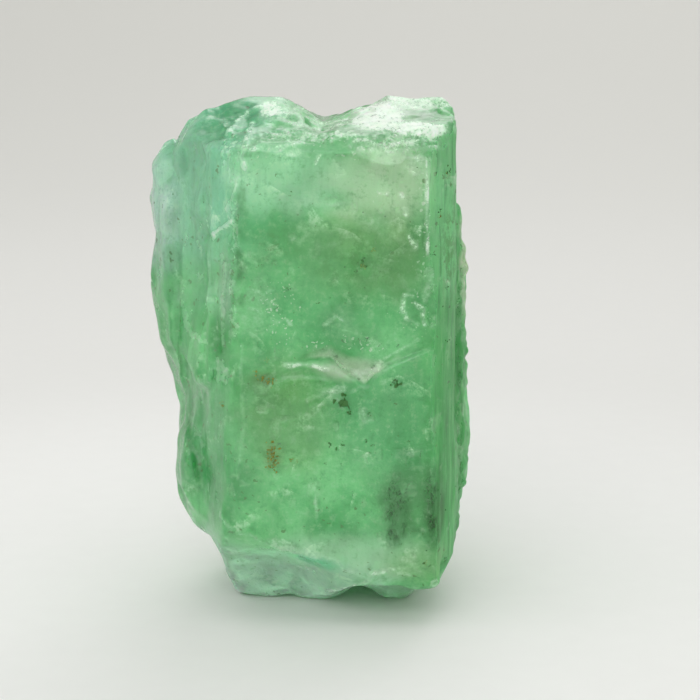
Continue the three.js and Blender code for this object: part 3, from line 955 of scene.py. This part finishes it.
def sheets(across, spacing, waviness):
    """Saw-tooth sheets square to `across`: 1 at each sheet, sinking to 0 at the next."""
    way = Vector(across).normalized()
    height = Wire.node(tree, "VectorMath", {"operation": "DOT_PRODUCT"},
                       {0: spot, 1: tuple(way)}, out="Value")
    share = (height + bend * waviness) / spacing
    share = Wire.node(tree, "Math", {"operation": "FRACT"}, {0: share})
    return Wire.node(tree, "Math", {"operation": "POWER"}, {0: share, 1: 5})


CRACKS = [
    ((0.5, 0.2, 0.9), 1.5, 3.0, 0.45),
    ((-0.7, 0.3, 0.6), 2.1, 3.5, 0.4),
]
broken = cloud(spot, 1.3, 2).above(0.48, 0.66) * grit.above(0.4, 0.62)
cracks = 0
for across, spacing, waviness, strength in CRACKS:
    cracks = sheets(across, spacing, waviness) * broken * strength + cracks
tone = cracks.blend(tone, colour(222, 248, 220))
print(len(CRACKS), "sets of crack sheets")

# %% [markdown]
# ### Specks
#
# Dark mica and brownish rust dot the whole stone. Voronoi cells give each speck a middle,
# and the cell's own random colour decides how large it is, or whether there is one at all.

# %% Dark and bright specks
spread_out = spot.stretched((1, 0.6, 1))
shaken = Wire.node(tree, "TexNoise", None,
                   {"Vector": spread_out, "Scale": 7, "Detail": 1},
                   out="Color")
shaken = Wire.node(tree, "VectorMath", {"operation": "MULTIPLY_ADD"},
                   {0: shaken, 1: (0.22, 0.22, 0.22), 2: spread_out})


def specks(scale, widest, where):
    """Specks at cell middles, of all sizes up to `widest` cells, kept where `where` is 1."""
    away = Wire.node(tree, "TexVoronoi", None, {"Vector": shaken, "Scale": scale})
    return (away.also("Color") * where * widest - away).above(0, 0.06)


dirt = stored("dirt")
clean = 1 - stored("frost_and_highlight")
tone = (specks(2.0, 0.24, dirt) * clean * 0.8).blend(tone, colour(48, 86, 46))
tone = (specks(3.7, 0.26, 1.15 - dirt) * clean * 0.6).blend(tone, colour(88, 112, 50))
murky = cloud(spot, 2.6, 5, 0.72).above(0.45, 0.58)
tone = (stored("brown") * murky * 0.6).blend(tone, colour(80, 146, 68))
# Painted glints: bright specks where the glint share is high.
tone = (specks(7.5, 0.38, stored("glint")) * 0.8).blend(tone, colour(226, 254, 224))
mottled = cloud(spot.stretched((1, 1, 0.6)), 2.4, 5, 0.68).above(0.4, 0.62)
tone = (smoke * (0.4 + mottled * 0.6)).blend(tone, colour(14, 100, 20))
crumbs = cloud(spot.stretched((1, 0.45, 1)), 7.5, 5, 0.74)
# White frost and painted highlight, blended over the colour and made rougher and cloudier.
frosted_and_highlit = stored("frost_and_highlight") * (0.3 + crumbs.above(0.36, 0.62) * 0.7) * (1 - smoke * 0.7)
tone = frosted_and_highlit.blend(tone, colour(236, 252, 236))
print("with specks and frost it is", len(tree.nodes), "nodes")

# %% Skin and body
REFRACTION = 1.58
relief = cloud(spot, 14, 3, 0.6)
bump = Wire.node(tree, "Bump", None,
                 {"Height": relief, "Strength": 0.38, "Distance": 0.00003})
gloss = 0.03 + frosted_and_highlit * 0.3 + grit * 0.08 + lined * 0.45
skin_look = {"Base Color": tone, "Roughness": gloss, "IOR": REFRACTION, "Normal": bump,
             "Specular IOR Level": 0.35}
let_through = Wire.node(tree, "Mix", {"data_type": "RGBA"},
                        {0: 0.5 - lined * 0.4, 6: tone, 7: colour(214, 250, 222)}, out=2)
clear = Wire.node(tree, "BsdfPrincipled", None,
                  {**skin_look, "Base Color": let_through, "Transmission Weight": 0.95})
milky = Wire.node(tree, "BsdfPrincipled", {"subsurface_method": "RANDOM_WALK"}, {
    **skin_look, "Subsurface Weight": 0.6, "Subsurface Radius": (0.5, 1.0, 0.6),
    "Subsurface Scale": 0.0008,
})
cloudy = 0.3 + stored("milk") * 0.22 + cracks * 0.4 + lined * 0.25
cloudy = cloudy + frosted_and_highlit - cloudy * frosted_and_highlit
body = Wire.node(tree, "MixShader", None, {0: cloudy, 1: clear, 2: milky})
tree.links.new(ending.inputs["Surface"], body.socket)
haze = Wire.node(tree, "VolumeAbsorption", None,
                 {"Color": (0.3, 0.82, 0.46, 1), "Density": 120})
tree.links.new(ending.inputs["Volume"], haze.socket)
stone.data.materials.append(emerald)
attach(stone, "root")
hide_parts("crystal")
print("the finish has", len(tree.nodes), "nodes")

# %% [markdown]
# ## What is sealed in the stone
#
# Mica, bits of iron ore and tourmaline needles were there before the emerald and were
# swallowed by it. They are real small pieces here, most of them a few hundredths of a
# millimetre under the skin, so they shift behind the gloss when the stone is turned. A ray
# that is sent at the stone finds the skin, and the grain is put a little deeper, square to it.

# %% Finding a place under the skin
WELL_OUTSIDE = 20
corners = [tuple(face.vertices) for face in stone.data.polygons]
skin_finder = BVHTree.FromPolygons([Vector(point) for point in skin], corners)


def under_skin(start, way, depth):
    """The place `depth` under the skin, where a ray from `start` meets it, or None."""
    hit, outward, _, _ = skin_finder.ray_cast(Vector(start), Vector(way).normalized())
    if hit is None:
        return None
    return np.array(hit - outward * depth)


def under_front(across, up, depth):
    """A place under the front of the stone, straight behind (across, up)."""
    return under_skin(at(across, -3, up), (0, 1, 0), depth)


def under_any(reach_down, reach_up, depth):
    """A chance place under the skin, on any side."""
    turn = rng.uniform(0, 2 * math.pi)
    middle = at(0, 0, rng.uniform(reach_down, reach_up))
    way = np.array((math.cos(turn), math.sin(turn), rng.uniform(-0.3, 0.3)))
    return under_skin(middle - way * WELL_OUTSIDE, way, depth)


print("a grain under the ledge would be at", under_front(0.24, 0.44, 0.05))


# %% Grains as one piece
def chip(middle, reach, corners_of_it=10):
    """A crooked grain: the hull round some chance points. `reach` is its half size in x, y, z."""
    shape = bmesh.new()
    for _ in range(corners_of_it):
        way = rng.normal(0, 1, 3)
        way = way / np.linalg.norm(way) * rng.uniform(0.7, 1.0)
        shape.verts.new(way * reach)
    bmesh.ops.convex_hull(shape, input=shape.verts)
    loose = [vertex for vertex in shape.verts if not vertex.link_faces]
    bmesh.ops.delete(shape, geom=loose, context="VERTS")
    turn = Matrix.Rotation(rng.normal(0, 0.5), 3, Vector(rng.normal(0, 1, 3)).normalized())
    shape.verts.index_update()
    points = [(np.array(turn @ vertex.co) + middle) / ENLARGED for vertex in shape.verts]
    faces = [[vertex.index for vertex in face.verts] for face in shape.faces]
    shape.free()
    return points, faces


def sealed(name, chips, finish, smooth=False):
    """Joins chips into one piece that moves with the stone."""
    points = []
    faces = []
    for chip_points, chip_faces in chips:
        first = len(points)
        points.extend(chip_points)
        faces.extend([[first + corner for corner in face] for face in chip_faces])
    mesh = bpy.data.meshes.new(name)
    mesh.from_pydata(points, [], faces)
    mesh.polygons.foreach_set("use_smooth", [smooth] * len(faces))
    mesh.materials.append(finish)
    mesh.validate()
    piece = bpy.data.objects.new(name, mesh)
    bpy.context.scene.collection.objects.link(piece)
    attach(piece, "root")
    print(name, "has", len(chips), "parts and", len(faces), "faces")


def heap(across, up, width, count, sizes, spread, sink):
    """Chips heaped round a place under the front.

    `sizes`, `spread` and `sink` grow with `width`, and `sizes` ends with how flat they are."""
    found = []
    smallest, largest, flatness = sizes
    for _ in range(count):
        reach = width * rng.uniform(smallest, largest, 3) * (1, flatness, 1)
        spot = under_front(across + rng.normal(0, width * spread[0]),
                           up + rng.normal(0, width * spread[1]),
                           reach.min() * rng.uniform(-sink, sink))
        if spot is not None:
            found.append(chip(spot, reach))
    return found


def grain_finish(name, dark, pale, roughness):
    """An opaque mineral: two shades of it in fine lumps, and a bumpy skin."""
    material, tree, ending = new_material(name)
    lumps = Wire.node(tree, "TexNoise", None, {"Scale": 9000, "Detail": 4})
    bump = Wire.node(tree, "Bump", None,
                     {"Height": lumps, "Strength": 0.5, "Distance": 0.00001})
    shade = lumps.above(0.4, 0.62).blend(colour(*dark), colour(*pale))
    look = Wire.node(tree, "BsdfPrincipled", None,
                     {"Base Color": shade, "Roughness": roughness, "Normal": bump})
    tree.links.new(ending.inputs["Surface"], look.socket)
    return material


# %% [markdown]
# ### Dark grains
#
# Black mica lies in the stone as crumbs, here and there in a small heap. A painted dot would
# stay flat on the skin, so each crumb is a mesh of its own: the hull round a few chance
# points. The listed heaps can be pointed at on the real stone, and stray grains fill in.

# %% Dark grains
DARK_GRAINS = [
    (0.23, 0.45, 0.28), (0.54, 0.485, 0.16), (0.26, 0.435, 0.14), (0.38, 0.43, 0.1),
    (0.53, 0.49, 0.12), (0.15, 0.37, 0.1), (0.19, 0.36, 0.1), (0.34, 0.72, 0.09),
    (0.36, 0.71, 0.08), (0.3, 0.7, 0.07), (0.84, 0.66, 0.08), (0.84, 0.56, 0.08),
    (0.225, 0.37, 0.1), (0.36, 0.376, 0.08), (0.4, 0.37, 0.06), (0.61, 0.376, 0.08),
    (0.38, 0.353, 0.05), (0.51, 0.35, 0.05), (0.12, 0.33, 0.05), (0.21, 0.33, 0.05),
    (0.09, 0.3, 0.04), (0.21, 0.3, 0.04), (0.56, 0.314, 0.05), (0.08, 0.64, 0.06),
    (0.24, 0.64, 0.05), (0.11, 0.55, 0.05), (0.32, 0.57, 0.05), (0.15, 0.65, 0.05),
    (0.27, 0.66, 0.05), (0.35, 0.67, 0.05), (-0.24, 0.71, 0.08), (-0.21, 0.74, 0.06),
    (-0.06, 0.485, 0.06), (0.78, 0.81, 0.1), (0.845, 0.876, 0.12), (0.75, 0.73, 0.08),
    (0.71, 0.135, 0.08), (0.74, 0.13, 0.06), (0.31, 0.716, 0.05), (0.44, 0.7, 0.05),
    (0.28, 0.766, 0.05), (-0.1, 0.67, 0.06), (-0.15, 0.55, 0.04),
]
STRAY_GRAINS = 260
chips = []
for across, up, width in DARK_GRAINS[:2]:
    spot = under_front(across, up, 0.01)
    chips.append(chip(spot, width * np.array((0.62, 0.3, 0.52)), 16))
for across, up, width in DARK_GRAINS:
    count = 3 + int(width * 24)
    chips += heap(across, up, width, count, (0.2, 0.55, 1), (0.09, 0.026), 0.3)
for _ in range(STRAY_GRAINS):
    reach = rng.uniform(0.015, 0.05, 3)
    spot = under_any(0.05, 0.95, reach.min() * rng.uniform(-0.2, 3))
    if spot is not None:
        chips.append(chip(spot, reach, 8))
mica = grain_finish("black_mica", (36, 84, 34), (74, 138, 60), 0.5)
sealed("dark_grains", chips, mica)

# %% [markdown]
# ### Smoke
#
# At the lower right the mica is so fine that it looks like two columns of smoke. The skin's
# colour is darkened there already. Hundreds of tiny upright chips at different depths give
# the columns their grain.

# %% Smoke
SMOKE_THREADS = 420
chips = []
for _ in range(SMOKE_THREADS):
    place, reach = SMOKE_ZONES[rng.integers(len(SMOKE_ZONES))]
    spread = rng.normal(0, 0.42, 2) * (reach[0], reach[2])
    spot = under_front(place[0] + spread[0] / (WIDTH / 2), place[2] + spread[1] / HEIGHT,
                       rng.uniform(-0.005, 0.25))
    if spot is not None:
        chips.append(chip(spot, rng.uniform(0.015, 0.045, 3) * (1, 1, 2.0), 8))
smoky = grain_finish("dark_green_mica", (22, 84, 26), (44, 112, 42), 0.5)
sealed("smoky_grains", chips, smoky)

# %% [markdown]
# ### Rust
#
# Bits of iron ore rusted where water found its way in. They crumbled as they did, so they are
# heaped like the mica, but from flatter chips in a dull brown.

# %% Rust
RUST = [
    (-0.2, 0.36, 0.2), (-0.19, 0.345, 0.17), (-0.18, 0.33, 0.15), (-0.21, 0.325, 0.08),
    (-0.08, 0.34, 0.07), (-0.05, 0.335, 0.05), (-0.25, 0.495, 0.15), (-0.2, 0.49, 0.12),
    (-0.28, 0.51, 0.07), (-0.485, 0.435, 0.1), (-0.22, 0.53, 0.06), (0.4, 0.74, 0.06),
    (0.34, 0.71, 0.07), (0.72, 0.135, 0.06), (0.83, 0.87, 0.08), (0.78, 0.8, 0.08),
]
chips = []
for across, up, width in RUST:
    chips += heap(across, up, width, 12, (0.12, 0.5, 0.4), (0.11, 0.04), 0.6)
rust = grain_finish("iron_rust", (104, 106, 28), (150, 150, 54), 0.7)
sealed("rust_flakes", chips, rust)

# %% [markdown]
# ### Needles
#
# Tourmaline grows as thin rods. A rod could be one long cylinder, but that looks drawn with a
# ruler, so each needle is a row of slim crooked chips that thins out to both ends.

# %% Needles
NEEDLES = [(0.68, 0.347, 0.22, 0.1), (0.28, 0.27, 0.13, 0.0), (-0.09, 0.665, 0.2, 1.3),
           (0.6, 0.28, 0.15, 0.3), (-0.16, 0.63, 0.1, 1.0), (0.44, 0.56, 0.1, 0.8)]
chips = []
for across, up, half_length, lean in NEEDLES:
    for step in np.linspace(-1, 1, 7):
        spot = under_front(across + step * half_length * math.sin(lean) / (WIDTH / 2),
                           up + step * half_length * math.cos(lean) / HEIGHT, 0.008)
        thick = 0.022 * (1.1 - step * step * 0.6)
        chips.append(chip(spot, np.array((thick, thick, half_length * 0.22)), 12))
tourmaline = grain_finish("green_tourmaline", (16, 44, 22), (40, 84, 44), 0.3)
sealed("needle_grains", chips, tourmaline)

# %% [markdown]
# ### Sheets of healed cracks
#
# A crack that healed is a wavy sheet of tiny bubbles. Each one here is a thin lens with two
# wavy faces that meet at its rim, and a noise thins it out into holes.

# %% Healed cracks
VEIL_COVER = 0.06
VEIL_HALF_THICK = 0.006
VEIL_WAVE = 0.16


def sheet(middle, across_way, along_way, widths):
    """A thin wavy lens round `middle`, spanned by two ways and kept under the skin."""
    middle = np.array(middle)
    across_way = np.array(across_way) / np.linalg.norm(across_way)
    along_way = np.array(along_way) / np.linalg.norm(along_way)
    outward = np.cross(across_way, along_way)
    rings, turns = 9, 30
    seed = rng.integers(50, 90)
    flat = [(0.0, 0.0)]
    for ring in range(1, rings + 1):
        for turn in range(turns):
            angle = 2 * math.pi * turn / turns
            flat.append((ring / rings * math.cos(angle), ring / rings * math.sin(angle)))
    flat = np.array(flat)
    ragged = 1 + 0.6 * wander(np.column_stack((flat * 2.4, np.zeros(len(flat)))), 1.0, seed)
    spans = flat * ragged[:, None] * widths
    points = middle + spans[:, :1] * across_way + spans[:, 1:] * along_way
    points = points + outward * (VEIL_WAVE * wander(points, 0.45, seed))[:, None]
    thick = VEIL_HALF_THICK * (1 - np.linalg.norm(flat, axis=1) ** 2)[:, None] * outward
    for number, point in enumerate(points):
        near, way_out, _, _ = skin_finder.find_nearest(Vector(point))
        if (Vector(point) - near).dot(way_out) > -VEIL_COVER:
            points[number] = near - way_out * VEIL_COVER
    rim = 1 + (rings - 1) * turns
    over = list(points + thick)
    under = list((points - thick)[:rim])
    faces = []
    for side, base in ((1, 0), (-1, len(over))):
        for turn in range(turns):
            after = (turn + 1) % turns
            face = [base, base + 1 + turn, base + 1 + after]
            faces.append(face[::side])
            for ring in range(rings - 1):
                inner = 1 + ring * turns
                outer = inner + turns
                start = base if ring < rings - 2 else 0
                face = [base + inner + turn, start + outer + turn, start + outer + after,
                        base + inner + after]
                faces.append(face[::side])
    return [point / ENLARGED for point in over + under], faces


VEILS = [
    ((0.64, 0.625), 0.3, (1.0, 0.3, 0.2), (-0.1, 0.5, 1.0), (0.42, 0.4)),
    ((-0.13, 0.62), 0.35, (1.0, 0.3, 0.1), (0.2, 0.4, 1.0), (0.45, 0.5)),
    ((0.18, 0.6), 0.35, (1.0, -0.4, 0.3), (0.1, 0.8, 1.0), (0.5, 0.3)),
    ((0.1, 0.86), 0.5, (1.0, 0.2, -0.3), (0.3, 0.8, 1.0), (0.6, 0.3)),
    ((0.45, 0.8), 0.45, (1.0, 0.3, -0.4), (0.3, 0.9, 0.9), (0.45, 0.25)),
    ((-0.1, 0.82), 0.4, (1.0, 0.3, 0.5), (-0.3, 0.8, 1.0), (0.8, 0.4)),
    ((0.1, 0.45), 0.4, (1.0, 0.3, 0.3), (-0.2, 0.9, 0.9), (0.8, 0.3)),
    ((0.02, 0.27), 0.45, (1.0, 0.2, 0.1), (0.1, 0.9, 1.0), (0.9, 0.5)),
    ((0.4, 0.3), 0.4, (1.0, 0.3, -0.2), (0.2, 0.8, 1.0), (0.7, 0.4)),
    ((-0.4, 0.4), 0.4, (1.0, -0.6, 0.2), (0.2, 0.5, 1.0), (0.5, 0.8)),
    ((-0.55, 0.62), 0.4, (1.0, -0.9, 0.2), (0.2, 0.3, 1.0), (0.4, 0.9)),
    ((-0.75, 0.8), 0.6, (1.0, -0.6, 0.2), (0.1, 0.4, 1.0), (0.6, 1.1)),
    ((-0.5, 0.86), 0.4, (1.0, -0.8, 0.3), (0.1, 0.3, 1.0), (0.45, 0.7)),
    ((-0.15, 0.09), 0.6, (1.0, 0.3, -0.3), (0.2, 0.7, 0.6), (1.0, 0.4)),
]
lenses = []
for (across, up), depth, across_way, along_way, widths in VEILS:
    spot = under_front(across, up, depth)
    lenses.append(sheet(spot, across_way, along_way, widths))
for _ in range(22):
    spot = under_any(0.1, 0.9, rng.uniform(0.5, 1.2))
    if spot is not None and spot[1] > 0:
        lenses.append(sheet(spot, rng.normal(0, 1, 3), rng.normal(0, 1, 3),
                            rng.uniform(0.3, 0.7, 2)))

veil, tree, ending = new_material("milky_veil")
holes = Wire.node(tree, "TexNoise", None,
                  {"Vector": Wire.node(tree, "TexCoord", out="Object"),
                   "Scale": 6500, "Detail": 5, "Roughness": 0.7})
look = Wire.node(tree, "BsdfPrincipled", None, {
    "Base Color": holes.blend(colour(214, 246, 216), colour(246, 254, 244)),
    "Roughness": 0.35, "Alpha": holes.above(0.48, 0.64) * 0.75,
})
tree.links.new(ending.inputs["Surface"], look.socket)
sealed("healed_cracks", lenses, veil, smooth=True)

# %% [markdown]
# ## The end
#
# The copy of the block that gave the sharp edges is no longer needed, so it is freed.

# %% Freeing the block
block.free()
